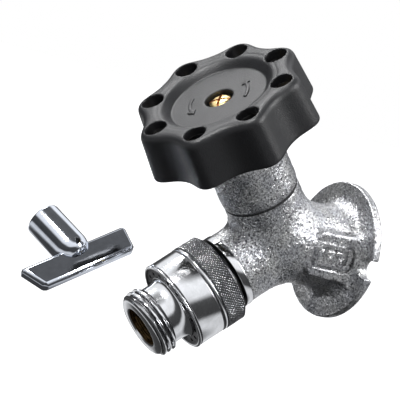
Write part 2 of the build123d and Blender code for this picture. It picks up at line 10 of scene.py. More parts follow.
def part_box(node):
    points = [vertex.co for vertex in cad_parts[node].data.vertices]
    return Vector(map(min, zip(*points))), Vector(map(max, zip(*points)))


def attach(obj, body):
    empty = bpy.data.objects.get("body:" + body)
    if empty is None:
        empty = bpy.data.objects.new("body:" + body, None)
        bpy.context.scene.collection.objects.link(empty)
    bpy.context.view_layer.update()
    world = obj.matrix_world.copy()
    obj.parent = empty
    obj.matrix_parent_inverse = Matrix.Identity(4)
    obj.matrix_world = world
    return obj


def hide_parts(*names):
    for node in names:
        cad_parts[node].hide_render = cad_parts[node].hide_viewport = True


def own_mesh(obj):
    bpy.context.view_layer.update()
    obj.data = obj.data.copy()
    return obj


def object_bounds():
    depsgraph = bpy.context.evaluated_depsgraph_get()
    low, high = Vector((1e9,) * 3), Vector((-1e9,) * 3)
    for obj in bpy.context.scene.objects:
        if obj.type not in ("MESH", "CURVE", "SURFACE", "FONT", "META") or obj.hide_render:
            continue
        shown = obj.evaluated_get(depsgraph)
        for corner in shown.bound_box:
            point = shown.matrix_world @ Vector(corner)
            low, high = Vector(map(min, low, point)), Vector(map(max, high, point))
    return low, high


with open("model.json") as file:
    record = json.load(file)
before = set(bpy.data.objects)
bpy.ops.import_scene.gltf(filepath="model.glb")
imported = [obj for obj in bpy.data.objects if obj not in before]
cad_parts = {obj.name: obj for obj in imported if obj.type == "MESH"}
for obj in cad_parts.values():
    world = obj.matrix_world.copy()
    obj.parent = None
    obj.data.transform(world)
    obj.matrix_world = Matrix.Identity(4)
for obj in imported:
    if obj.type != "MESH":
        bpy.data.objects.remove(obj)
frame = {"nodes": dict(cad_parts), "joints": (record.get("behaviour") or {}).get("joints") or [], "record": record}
cad_low, cad_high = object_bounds()
nodes = frame["nodes"]
record = frame["record"]
joints = {joint["name"]: joint for joint in frame["joints"]}
mounts = {mount["name"]: mount for mount in record["mounts"]}
MM = 0.001

# ---- crossing point and axes; lengths are millimetres up to the studio's section ----
junction = np.array(joints["handwheel_turn"]["pos_m"]) / MM
stem_axis = np.array(joints["handwheel_turn"]["axis"], float)
outlet_axis = np.array(joints["check_lift"]["axis"], float)
side_axis = np.array([1.0, 0.0, 0.0])
wall_axis = np.array([0.0, -1.0, 0.0])


def along(axis, level):
    """Point at a distance from the junction along an axis."""
    return junction + axis * level


def reach(node, axis):
    """Lowest and highest distance of a CAD node from the junction along an axis."""
    points = np.array([vertex.co for vertex in nodes[node].data.vertices]) / MM
    places = (points - junction) @ axis
    return places.min(), places.max()


# ---- levels read from the CAD model ----
wheel_bottom, rim_level = reach("handwheel", stem_axis)
screw_base, screw_top = reach("handle_screw", stem_axis)
bonnet_low, bonnet_high = reach("bonnet", stem_axis)
gasket_low, gasket_high = reach("bonnet_gasket", stem_axis)
seat_floor = reach("seat_ring", stem_axis)[0]
knurl_start, spigot_end = reach("breaker_body", outlet_axis)
shell_start, shell_end = reach("breaker_shell", outlet_axis)
nozzle_start, tip = reach("nozzle", outlet_axis)
nose_end = reach("inlet_washer", outlet_axis)[0]
nut_top = reach("packing_nut", stem_axis)[1]

# ---- sizes, the CAD model's where it has them, and turns in degrees ----
# casting
FLANGE_RADIUS, FLANGE_THICKNESS, HUB_RADIUS = 27.0, 3.4, 16.5
PAD_CENTRE, PAD_REACH, PAD_HALF_WIDTH, PAD_HALF_HEIGHT, PAD_CORNER = 14.5, 16.9, 10.0, 9.3, 4.5
SLOT_REACH, SLOT_RADIUS, SLOT_DEPTH = 21.0, 3.7, 9.0
inlet_size = mounts["inlet_thread"]["dims"]
INLET_RADIUS, INLET_DEPTH = inlet_size["r_mm"], inlet_size["length_mm"]
INLET_THREAD_PITCH, INLET_THREAD_DEPTH, INLET_LINING = 1.814, 1.05, 1.2
INLET_PASSAGE_DROP, INLET_PASSAGE_END = 9.0, 22.3
BRANCH_RADIUS, OUTLET_BRANCH_RADIUS, OUTLET_BRANCH_LENGTH = 15.1, 14.7, 24.0
COLLAR_RADIUS, COLLAR_LENGTH = 15.0, 3.0
PASSAGE_RADIUS, CHAMBER_RADIUS, SEAT_RADIUS, SEAT_THICKNESS = 5.5, 10.5, 9.0, 3.0
THREAD_RADIUS = mounts["outlet_thread"]["dims"]["r_mm"]
THREAD_DEPTH, THREAD_PITCH = 1.25, 2.209
# bonnet
BONNET_RADIUS, BONNET_BORE = 15.4, 7.2
NECK_RADIUS, NECK_LENGTH, PACKING_RADIUS, STEM_BORE = 10.0, 10.0, 7.7, 5.2
# handwheel
LOBES, LOBE_PHASE = 8, -5.2
LOBE_TOP, LOBE_BOTTOM, VALLEY_TOP, VALLEY_BOTTOM = 33.2, 35.2, 29.4, 30.6
WHEEL_WALL, RIM_THICKNESS, PLATE, PLATE_RADIUS = 3.0, 3.6, 4.0, 21.5
WHEEL_HUB_RADIUS, WHEEL_HUB_GAP = 9.0, 2.0
RIB_START, RIB_HALF_THICK, RIB_HEIGHT = 8.0, 1.0, 3.0
HOLE_RADIUS, HOLE_CIRCLE = 4.3, 26.7
DISH_RADIUS, DISH_LIP, DISH_DEPTH = 19.0, 23.4, 3.2
RECESS_RADIUS, RECESS_DEPTH = 5.45, 3.0
SCREW_SEAT, SCREW_HOLE_RADIUS, STEM_SQUARE_HALF = 2.0, 2.1, 3.55
ARROW_RADIUS, ARROW_HALF_WIDTH, ARROW_BARB, ARROW_HEIGHT, ARROW_TURN = 11.5, 0.6, 1.2, 0.75, 60
# handle screw
SCREW_RADIUS, SCREW_HEAD_RADIUS, SCREW_HEAD_HEIGHT = 2.0, 4.6, 2.4
CROSS_ANGLES, CROSS_HALF_SIZES = (45, 135), (3.1, 0.55, 1.1)
# vacuum breaker
SHELL_RADIUS, SHELL_BORE, SHELL_LIP = 17.95, 16.15, 1.5
VENT_COUNT, VENT_RADIUS, VENT_CIRCLE = 16, 0.8, 14.575
KNURL_RADIUS, KNURL_BEVEL, KNURL_LINES, KNURL_DEPTH = 18.05, 1.1, 90, 0.50
BREAKER_WATERWAY, WASHER_THICKNESS, SEAM_TURN = 7.5, 2.0, 24
DIAPHRAGM_THICKNESS, NOZZLE_CHAMBER_RADIUS, NOZZLE_CHAMBER_DEPTH = 1.2, 10.8, 8.3
SHOULDER_RADIUS, NECK_OF_NOZZLE, BORE_RADIUS = 13.0, 11.8, 8.0
CONE_LENGTH, NOZZLE_THREAD_LENGTH = 4.2, 7.5
BORE_RIB_DEPTH, BORE_RIB_PITCH, TAB_TURN = 0.22, 0.9, 28
SPRING_WIRE, SPRING_RADIUS, SPRING_TURNS, CHECK_TRAVEL = 0.4, 4.3, 3, 3.1
# tee key
KEY_HALF_LONG, KEY_HALF_WIDTH, KEY_HALF_THICK, KEY_SLANT, KEY_CHAMFER = 26.3, 5.85, 2.5, 3.8, 1.4
KEY_BARREL, KEY_MOUTH, KEY_MOUTH_GAP = 7.2, 24.55, 0.15
KEY_SQUARE_HALF, KEY_SQUARE_DEPTH = 3.5, 9.0


# ======== mesh helpers ====================================
def new_piece(name, vertices, faces, material, body, smooth_angle=40):
    """Make a mesh object from millimetre points, and have it ride on a CAD body."""
    mesh = bpy.data.meshes.new(name)
    mesh.from_pydata((np.asarray(vertices) * MM).tolist(), [], faces)
    mesh.validate()
    work = bmesh.new()
    work.from_mesh(mesh)
    bmesh.ops.remove_doubles(work, verts=work.verts, dist=1e-7)
    bmesh.ops.recalc_face_normals(work, faces=work.faces)
    work.to_mesh(mesh)
    work.free()
    mesh.polygons.foreach_set("use_smooth", [True] * len(mesh.polygons))
    mesh.set_sharp_from_angle(angle=math.radians(smooth_angle))
    mesh.materials.append(material)
    piece = bpy.data.objects.new(name, mesh)
    bpy.context.scene.collection.objects.link(piece)
    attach(piece, body)
    return piece


def local_frame(axis):
    """Unit vectors x, y and the axis itself, right-handed."""
    axis = np.asarray(axis, float) / np.linalg.norm(axis)
    x_dir = side_axis - axis * (side_axis @ axis)
    x_dir = x_dir / np.linalg.norm(x_dir)
    return x_dir, np.cross(axis, x_dir), axis


def rounded(corners, radius):
    """Round the corners of a closed (radius, level) outline. A third number is a corner's own size."""
    points = []
    count, steps = len(corners), 3
    for i, corner in enumerate(corners):
        here = np.array(corner[:2], float)
        size = corner[2] if len(corner) > 2 else radius
        back = np.array(corners[i - 1][:2], float) - here
        ahead = np.array(corners[(i + 1) % count][:2], float) - here
        room = 0.45 * min(np.linalg.norm(back), np.linalg.norm(ahead))
        cut = min(size, room)
        if cut < 1e-3:
            points.append(tuple(here))
            continue
        start = here + back / np.linalg.norm(back) * cut
        end = here + ahead / np.linalg.norm(ahead) * cut
        for step in range(steps + 1):
            t = step / steps
            points.append(tuple((1 - t) ** 2 * start + 2 * t * (1 - t) * here + t * t * end))
    return points


def lathe(name, outline, axis, material, body, segments=160, shape=None, origin=None, angle=40):
    """Turn a closed (radius, level) outline about an axis. shape(radius, level, turn) gives new radii."""
    x_dir, y_dir, axis = local_frame(axis)
    origin = junction if origin is None else np.asarray(origin, float)
    outline = np.array(outline, float)
    turn = np.linspace(0, 2 * math.pi, segments, endpoint=False)[:, None]
    radius = np.repeat(outline[None, :, 0], segments, 0)
    level = np.repeat(outline[None, :, 1], segments, 0)
    if shape is not None:
        radius = shape(radius, level, np.repeat(turn, len(outline), 1))
    points = (
        origin + radius[..., None] * (np.cos(turn)[..., None] * x_dir + np.sin(turn)[..., None] * y_dir)
        + level[..., None] * axis
    )
    count = len(outline)
    faces = []
    for i in range(segments):
        j = (i + 1) % segments
        for k in range(count):
            m = (k + 1) % count
            if outline[k, 0] < 1e-6 and outline[m, 0] < 1e-6:
                continue
            faces.append((i * count + k, j * count + k, j * count + m, i * count + m))
    return new_piece(name, points.reshape(-1, 3), faces, material, body, angle)


def surface_net(distance, low, high, step):
    """Vertices and quads of the surface where a signed distance (negative inside) crosses zero."""
    low, high = np.asarray(low, float), np.asarray(high, float)
    counts = np.ceil((high - low) / step).astype(int) + 1
    axes = [low[i] + step * np.arange(counts[i]) for i in range(3)]
    grid = np.stack(np.meshgrid(*axes, indexing="ij"), -1).reshape(-1, 3)
    inside = np.concatenate([distance(part) for part in np.array_split(grid, 8)]).reshape(counts) < 0
    corner_sum = sum(
        inside[a:counts[0] - 1 + a, b:counts[1] - 1 + b, c:counts[2] - 1 + c].astype(int)
        for a in (0, 1) for b in (0, 1) for c in (0, 1)
    )
    active = (corner_sum > 0) & (corner_sum < 8)
    index = -np.ones(active.shape, int)
    index[active] = np.arange(active.sum())
    points = low + step * (np.argwhere(active) + 0.5)
    faces = []
    for axis in range(3):
        b, c = (axis + 1) % 3, (axis + 2) % 3
        first = [slice(1, -1)] * 3
        second = [slice(1, -1)] * 3
        first[axis], second[axis] = slice(0, -1), slice(1, None)
        here, there = inside[tuple(first)], inside[tuple(second)]
        for flip, cross in ((False, here & ~there), (True, ~here & there)):
            spot = np.argwhere(cross)
            spot[:, b] += 1
            spot[:, c] += 1
            step_b, step_c = np.eye(3, dtype=int)[b], np.eye(3, dtype=int)[c]
            ring = [spot - step_b - step_c, spot - step_c, spot, spot - step_b]
            if flip:
                ring = ring[::-1]
            faces.append(np.stack([index[tuple(cell.T)] for cell in ring], 1))
    probe = 0.05
    for _ in range(5):
        value = distance(points)
        slope = np.stack([
            (distance(points + shift) - distance(points - shift)) / (2 * probe) for shift in probe * np.eye(3)
        ], 1)
        size = np.maximum((slope ** 2).sum(1), 0.25)
        move = -(value / size)[:, None] * slope
        length = np.linalg.norm(move, axis=1, keepdims=True)
        points = points + move * np.minimum(1, 0.4 * step / np.maximum(length, 1e-9))
    return points, np.concatenate(faces).tolist()


# ======== signed distances ================================
def blend_min(a, b, size):
    """Union of two distances with a fillet."""
    near = np.maximum(size - np.abs(a - b), 0) / size
    return np.minimum(a, b) - near * near * size / 4


def blend_max(a, b, size):
    """Common part of two distances with a rounded edge."""
    return -blend_min(-a, -b, size)


def cut(a, b, size):
    """a with b taken away, and the edge rounded."""
    return blend_max(a, -b, size)


def bar(points, origin, axis, start, end, radius, edge=0.0):
    """Round bar from start to end along an axis."""
    offset = points - origin
    level = offset @ axis
    span = np.sqrt(np.maximum((offset ** 2).sum(1) - level ** 2, 0))
    side = span - radius + edge
    ends = np.abs(level - (start + end) / 2) - (end - start) / 2 + edge
    outside = np.hypot(np.maximum(side, 0), np.maximum(ends, 0))
    return np.minimum(np.maximum(side, ends), 0) + outside - edge


def block(u, v, half_u, half_v, corner):
    """Flat rounded rectangle in two coordinates."""
    a, b = np.abs(u) - half_u + corner, np.abs(v) - half_v + corner
    return np.minimum(np.maximum(a, b), 0) + np.hypot(np.maximum(a, 0), np.maximum(b, 0)) - corner


LATTICE = np.random.RandomState(7).rand(32, 32, 32) * 2 - 1


def grain(points, size):
    """Smooth repeatable noise from -1 to 1 with lumps of about a size."""
    place = points / size
    cell = np.floor(place).astype(int)
    part = place - cell
    part = part * part * (3 - 2 * part)
    total = 0
    for corner in np.ndindex(2, 2, 2):
        weight = np.prod(np.where(np.array(corner), part, 1 - part), axis=1)
        at = (cell + np.array(corner)) % 32
        total = total + weight * LATTICE[at[:, 0], at[:, 1], at[:, 2]]
    return total


# ======== materials =======================================
def add_node(tree, kind, inputs=(), **settings):
    """Add a shader node. An input is joined to the socket given for it, or set to the value given."""
    made = tree.nodes.new("ShaderNode" + kind)
    for name, value in settings.items():
        setattr(made, name, value)
    for socket, value in dict(inputs).items():
        if isinstance(value, bpy.types.NodeSocket):
            tree.links.new(value, made.inputs[socket])
        else:
            made.inputs[socket].default_value = value
    return made


def add_ramp(tree, value, stops):
    """Add a colour ramp with stops of (position, colour)."""
    made = add_node(tree, "ValToRGB", {"Fac": value})
    elements = made.color_ramp.elements
    for i, (position, colour) in enumerate(stops):
        element = elements[i] if i < 2 else elements.new(position)
        element.position = position
        element.color = (*colour, 1)
    return made.outputs["Color"]


class Nodes:
    """Short names for building one node material."""

    def __init__(self, name):
        self.material = bpy.data.materials.new(name)
        self.material.use_nodes = True
        self.tree = self.material.node_tree
        self.shader = self.tree.nodes["Principled BSDF"]
        self.place = self.tree.nodes.new("ShaderNodeTexCoord").outputs["Object"]

    def metal(self):
        self.shader.inputs["Metallic"].default_value = 1.0

    def node(self, kind, inputs=(), **settings):
        return add_node(self.tree, kind, inputs, **settings)

    def noise(self, size, detail=2.0, rough=0.5):
        """Noise whose lumps are about size millimetres across."""
        inputs = {"Vector": self.place, "Scale": 1 / (size * MM), "Detail": detail, "Roughness": rough}
        return self.node("TexNoise", inputs).outputs["Fac"]

    def ramp(self, value, stops):
        return add_ramp(self.tree, value, stops)

    def grey_ramp(self, value, stops):
        return self.ramp(value, [(position, (level,) * 3) for position, level in stops])

    def multiply(self, first, second):
        """Product of two colours."""
        inputs = {"Fac": 1.0, "Color1": first, "Color2": second}
        return self.node("MixRGB", inputs, blend_type="MULTIPLY").outputs["Color"]

    def bump(self, height, strength, depth, normal=None):
        """Bump of a depth in millimetres, laid over another bump where one is given."""
        inputs = {"Height": height, "Strength": strength, "Distance": depth * MM}
        if normal:
            inputs["Normal"] = normal
        return self.node("Bump", inputs).outputs["Normal"]

    def link(self, output, socket):
        self.tree.links.new(output, self.shader.inputs[socket])


def cast_chrome():
    """Plated over a rough casting: bright skin with fine dark pits and sparkling pebbles."""
    m = Nodes("cast_chrome")
    m.metal()
    patches = m.noise(7.0, 3.0)
    pebbles = m.noise(0.85, 3.0, 0.65)
    pits = m.noise(0.55, 1.5, 0.55)
    speck = m.ramp(pebbles, [
        (0.36, (0.30, 0.30, 0.31)), (0.46, (0.66, 0.66, 0.67)),
        (0.56, (0.92, 0.92, 0.93)), (0.66, (1.0, 1.0, 1.0)),
    ])
    pitted = m.ramp(pits, [(0.36, (0.05, 0.05, 0.055)), (0.43, (1.0, 1.0, 1.0))])
    tone = m.ramp(patches, [(0.35, (0.80, 0.81, 0.84)), (0.65, (1.0, 1.0, 0.99))])
    m.link(m.multiply(m.multiply(speck, pitted), tone), "Base Color")
    m.link(m.grey_ramp(pebbles, [(0.35, 0.45), (0.65, 0.22)]), "Roughness")
    coarse = m.bump(pits, 0.7, 0.16)
    m.link(m.bump(pebbles, 0.9, 0.30, coarse), "Normal")
    return m.material


def polished_chrome(name="polished_chrome", tint=(0.86, 0.87, 0.89), rough=0.07):
    """Bright plate with faint cloudiness and hairline scratches."""
    m = Nodes(name)
    m.metal()
    cloud = m.noise(4.0, 4.0, 0.6)
    hair = m.noise(0.30, 4.0, 0.7)
    dark = tuple(0.86 * c for c in tint)
    m.link(m.ramp(cloud, [(0.3, dark), (0.62, tint)]), "Base Color")
    m.link(m.grey_ramp(hair, [(0.35, rough), (0.75, rough + 0.12)]), "Roughness")
    m.link(m.bump(hair, 0.10, 0.05, m.bump(cloud, 0.10, 0.12)), "Normal")
    return m.material


def turned_metal(name, tint, dark, rough, size=0.35):
    """Machined metal: fine turning marks and a little tarnish."""
    m = Nodes(name)
    m.metal()
    tarnish = m.noise(2.2, 4.0, 0.6)
    marks = m.noise(size, 3.0, 0.6)
    m.link(m.ramp(tarnish, [(0.30, dark), (0.58, tint)]), "Base Color")
    m.link(m.grey_ramp(marks, [(0.3, rough), (0.7, rough + 0.18)]), "Roughness")
    m.link(m.bump(marks, 0.25, 0.08), "Normal")
    return m.material


def moulded(name, colour, light, rough, grain_size=0.32, strength=0.28):
    """Moulded plastic or rubber with a fine spark-eroded grain."""
    m = Nodes(name)
    fine = m.noise(grain_size, 2.0, 0.55)
    broad = m.noise(7.0, 3.0)
    scuff = m.noise(1.3, 5.0, 0.7)
    base = m.ramp(broad, [(0.35, colour), (0.65, tuple(1.25 * c for c in colour))])
    worn = m.ramp(scuff, [(0.62, (0, 0, 0)), (0.80, (1, 1, 1))])
    mixed = m.node("MixRGB", {"Fac": worn, "Color1": base, "Color2": (*light, 1)})
    m.link(mixed.outputs["Color"], "Base Color")
    m.link(m.grey_ramp(fine, [(0.35, rough), (0.65, rough + 0.12)]), "Roughness")
    m.link(m.bump(fine, strength, 0.10), "Normal")
    return m.material


CAST = cast_chrome()
CHROME = polished_chrome()
KEY_CHROME = polished_chrome("key_chrome", (0.78, 0.82, 0.90), 0.04)
BLACK = moulded("black_plastic", (0.0105, 0.0108, 0.0122), (0.030, 0.0305, 0.032), 0.36, 0.45, 1.0)
BRASS = turned_metal("brass", (0.86, 0.66, 0.30), (0.60, 0.40, 0.15), 0.20)
DARK_STEEL = turned_metal("dark_steel", (0.16, 0.16, 0.16), (0.05, 0.05, 0.05), 0.45)
SHADOW_CHROME = turned_metal("shadow_chrome", (0.10, 0.10, 0.105), (0.03, 0.03, 0.032), 0.30)
# Dark brass for the nozzle's bore: brass colour darkened with painted shade.
BRASS_IN_PAINTED_SHADE = turned_metal("brass_in_painted_shade", (0.16, 0.10, 0.045), (0.03, 0.02, 0.01), 0.40, 0.5)
BRIGHT_STEEL = turned_metal("bright_steel", (0.72, 0.72, 0.73), (0.50, 0.50, 0.51), 0.20)
RUBBER = moulded("rubber", (0.018, 0.018, 0.018), (0.04, 0.04, 0.04), 0.60)
FIBRE = moulded("graphite_fibre", (0.035, 0.035, 0.036), (0.09, 0.09, 0.09), 0.75, 0.6, 0.6)
WHITE = moulded("white_plastic", (0.72, 0.71, 0.67), (0.80, 0.79, 0.76), 0.40)
BY_SLOT = {
    "cast_chrome": CAST, "polished_chrome": CHROME, "key_chrome": KEY_CHROME, "black_plastic": BLACK,
    "brass": BRASS, "dark_steel": DARK_STEEL, "bright_steel": BRIGHT_STEEL, "rubber": RUBBER,
    "graphite_fibre": FIBRE, "white_plastic": WHITE,
}
for part in record["subparts"]:
    for place in nodes[part["node"]].material_slots:
        place.material = BY_SLOT[part["material_slot"]]


# ======== casting =========================================
def rounded_pad(p):
    """The pad on the hub's side, without the marks on its face."""
    pad = block(p[:, 1] + PAD_CENTRE, p[:, 2], PAD_HALF_WIDTH, PAD_HALF_HEIGHT, PAD_CORNER)
    return blend_max(pad, np.abs(p[:, 0] - PAD_REACH / 2) - PAD_REACH / 2 + 0.1, 1.6)


def casting_ridge(p):
    """Parting ridge of the casting, on the flange's face below the hub."""
    ridge = np.maximum(np.abs(p[:, 0]) - 0.7, np.abs(p[:, 1] + FLANGE_THICKNESS) - 1.3)
    return np.maximum(ridge, np.abs(p[:, 2] + 20) - 5.5)


def pad_marks(p):
    """A plain raised frame with a wave in it, on the pad's face."""
    across = p[:, 1] + PAD_CENTRE
    frame_line = np.abs(block(across, p[:, 2], 7.7, 3.8, 2.2)) - 0.55
    wave = np.abs(p[:, 2] - 1.5 * np.sin(across * 1.15)) - 0.75
    wave = np.maximum(wave * 0.6, np.abs(across) - 5.4)
    return np.maximum(np.minimum(frame_line, wave), np.abs(p[:, 0] - PAD_REACH + 0.85) - 1.45)


def pad_grooves(p):
    """Thin grooves just outside and inside the raised frame."""
    across = p[:, 1] + PAD_CENTRE
    outer_line = np.abs(block(across, p[:, 2], 8.9, 5.0, 2.8)) - 0.4
    inner_line = np.abs(block(across, p[:, 2], 6.6, 2.7, 1.4)) - 0.3
    return np.maximum(np.minimum(outer_line, inner_line), PAD_REACH - 0.65 - p[:, 0])


def wall_slots(p):
    """The flange's two slots, open to its edge, for wall screws."""
    slots = np.hypot(np.maximum(SLOT_REACH + SLOT_RADIUS - np.abs(p[:, 0]), 0), p[:, 2]) - SLOT_RADIUS
    slots = np.maximum(slots, SLOT_REACH - np.abs(p[:, 0]))
    return np.maximum(slots, -p[:, 1] - SLOT_DEPTH)


def waterways(p):
    """Inlet socket, inlet passage, seat port, seat, stem chamber and outlet passage."""
    origin = np.zeros(3)
    inlet_passage = np.array([0, 0, -INLET_PASSAGE_DROP])
    seat_top = seat_floor + SEAT_THICKNESS
    return (
        bar(p, origin, wall_axis, -5, INLET_DEPTH, INLET_RADIUS + INLET_LINING),
        bar(p, inlet_passage, wall_axis, INLET_DEPTH - 1, INLET_PASSAGE_END, PASSAGE_RADIUS),
        bar(p, junction, stem_axis, seat_floor - 6, seat_floor, PASSAGE_RADIUS),
        bar(p, junction, stem_axis, seat_floor - 0.2, seat_top, SEAT_RADIUS),
        bar(p, junction, stem_axis, seat_top, gasket_low + 5, CHAMBER_RADIUS),
        bar(p, junction, outlet_axis, 0, OUTLET_BRANCH_LENGTH + 5, PASSAGE_RADIUS),
    )


def casting_distance(p):
    """Flange, hub, pad and the two branches as one filleted lump, with its waterways cut out."""
    origin = np.zeros(3)
    flange = bar(p, origin, wall_axis, 0, FLANGE_THICKNESS, FLANGE_RADIUS - 0.15, 0.7)
    hub = bar(p, origin, wall_axis, 1, -junction[1], HUB_RADIUS - 0.2)
    ball = np.linalg.norm(p - junction, axis=1) - HUB_RADIUS
    stem = bar(p, junction, stem_axis, 0, gasket_low, BRANCH_RADIUS - 0.1)
    outlet = bar(p, junction, outlet_axis, 0, OUTLET_BRANCH_LENGTH, OUTLET_BRANCH_RADIUS - 0.1)
    branches = blend_min(stem, outlet, 5.0)
    lump = blend_min(blend_min(hub, ball, 3.0), branches, 4.0)
    lump = blend_min(lump, rounded_pad(p), 1.3)
    lump = blend_min(blend_min(lump, flange, 7.5), casting_ridge(p), 1.5)
    rough = 0.13 * grain(p, 1.25) + 0.08 * grain(p + 50, 0.7)
    fade = np.clip((gasket_low - (p - junction) @ stem_axis) / 2, 0, 1)
    lump = lump + rough * fade * np.clip((-p[:, 1] - 0.4) / 1.5, 0, 1)
    lump = blend_min(lump, pad_marks(p), 0.4)
    lump = cut(lump, pad_grooves(p), 0.3)
    lump = cut(lump, wall_slots(p), 0.8)
    for hollow in waterways(p):
        lump = np.maximum(lump, -hollow)
    lump = np.maximum(lump, (p - junction) @ stem_axis - gasket_low)
    return np.maximum(np.maximum(lump, (p - junction) @ outlet_axis - OUTLET_BRANCH_LENGTH), p[:, 1])


def thread_wave(level, turn, pitch):
    """One-start thread: 0 at the root and 1 at the crest, with soft flanks."""
    phase = (level / pitch - turn / (2 * math.pi)) % 1.0
    height = np.clip((np.abs(2 * phase - 1) - 0.22) / 0.5, 0, 1)
    return height * height * (3 - 2 * height)


def levels(start, end, gap):
    """Evenly spaced levels from start to end."""
    return np.linspace(start, end, max(2, int(abs(end - start) / gap) + 1))


def build_casting():
    step = 0.5
    low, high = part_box("body_casting")
    points, faces = surface_net(casting_distance, np.array(low) / MM - 1.3, np.array(high) / MM + 1.3, step)
    points[:, 1] = np.minimum(points[:, 1], 0)
    piece = new_piece("valve_casting", points, faces, CAST, "valve", 60)
    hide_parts("body_casting")


def build_collar():
    """Turned collar at the end of the outlet branch, with the hose thread on its nose."""
    branch_end = OUTLET_BRANCH_LENGTH
    collar_end = branch_end + COLLAR_LENGTH
    bore = PASSAGE_RADIUS + 0.1
    root = THREAD_RADIUS - THREAD_DEPTH
    edge = rounded([
        (bore, branch_end - 3), (OUTLET_BRANCH_RADIUS - 1.4, branch_end - 3),
        (OUTLET_BRANCH_RADIUS - 0.8, branch_end + 0.05), (COLLAR_RADIUS, branch_end + 0.05),
        (COLLAR_RADIUS, collar_end), (root, collar_end),
    ], 0.25)
    thread = [(root, level) for level in levels(collar_end + 0.1, nose_end - 0.6, 0.16)]
    outline = edge + thread + [(root - 0.6, nose_end), (bore, nose_end)]

    def shape(radius, level, turn):
        on = (np.abs(radius - root) < 1e-6) & (level > collar_end + 0.05)
        fade = np.clip((level - collar_end) / 0.8, 0, 1) * np.clip((nose_end - level) / 1.2, 0, 1)
        return radius + on * fade * THREAD_DEPTH * thread_wave(level, turn, THREAD_PITCH)

    collar = lathe("machined_collar_and_thread", outline, outlet_axis, CHROME, "valve",
                   192, shape)
    # Past the collar, the thread and nose are painted dark: painted shade in the gap behind the knurled ring.
    darken(collar, lambda radius, level: level > collar_end - 0.15)


def build_inlet_thread():
    """Brass pipe thread that lines the inlet socket."""
    root = INLET_RADIUS + 1.25
    back = INLET_RADIUS + 1.3
    inner = [(root, -level) for level in levels(0.0, INLET_DEPTH, 0.18)]
    closing = [(back, -INLET_DEPTH), (back, 0.0)]

    def shape(radius, level, turn):
        on = radius < INLET_RADIUS + 1.28
        fade = np.clip(-level / 1.5, 0, 1)
        return radius - on * fade * INLET_THREAD_DEPTH * thread_wave(level, turn, INLET_THREAD_PITCH)

    lathe("inlet_pipe_thread", inner + closing, -wall_axis, BRASS, "valve", 160, shape,
          origin=(0, 0, 0))


# ======== bonnet ==========================================
def build_bonnet():
    shoulder = bonnet_high - NECK_LENGTH
    low = gasket_high
    outline = rounded([
        (BONNET_BORE, bonnet_low), (CHAMBER_RADIUS - 0.1, bonnet_low), (CHAMBER_RADIUS - 0.1, low),
        (BONNET_RADIUS - 0.5, low, 1.2), (BONNET_RADIUS, low + 1.8, 1.5),
        (BONNET_RADIUS - 0.1, shoulder, 1.6), (NECK_RADIUS, shoulder, 0.8), (NECK_RADIUS, bonnet_high),
        (PACKING_RADIUS, bonnet_high), (PACKING_RADIUS, shoulder), (STEM_BORE, shoulder),
        (STEM_BORE, shoulder - 3), (BONNET_BORE, shoulder - 6),
    ], 0.3)
    dense = []
    for here, there in zip(outline, outline[1:] + outline[:1]):
        count = max(1, int(math.dist(here, there) / 0.5))
        dense += [tuple(np.array(here) + (np.array(there) - here) * k / count) for k in range(count)]

    def shape(radius, level, turn):
        points = np.stack([radius * np.cos(turn), radius * np.sin(turn), level], -1).reshape(-1, 3)
        rough = (0.10 * grain(points, 1.25) + 0.06 * grain(points + 50, 0.7)).reshape(radius.shape)
        cast = (radius > NECK_RADIUS + 1.5) & (level > low + 0.2) & (level < shoulder + 0.2)
        return radius + cast * (rough - 0.05)

    piece = lathe("bonnet_casting", dense, stem_axis, CAST, "valve", 200, shape, angle=60)
    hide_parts("bonnet")


# ======== handwheel =======================================
wheel_x, wheel_y, wheel_z = local_frame(stem_axis)


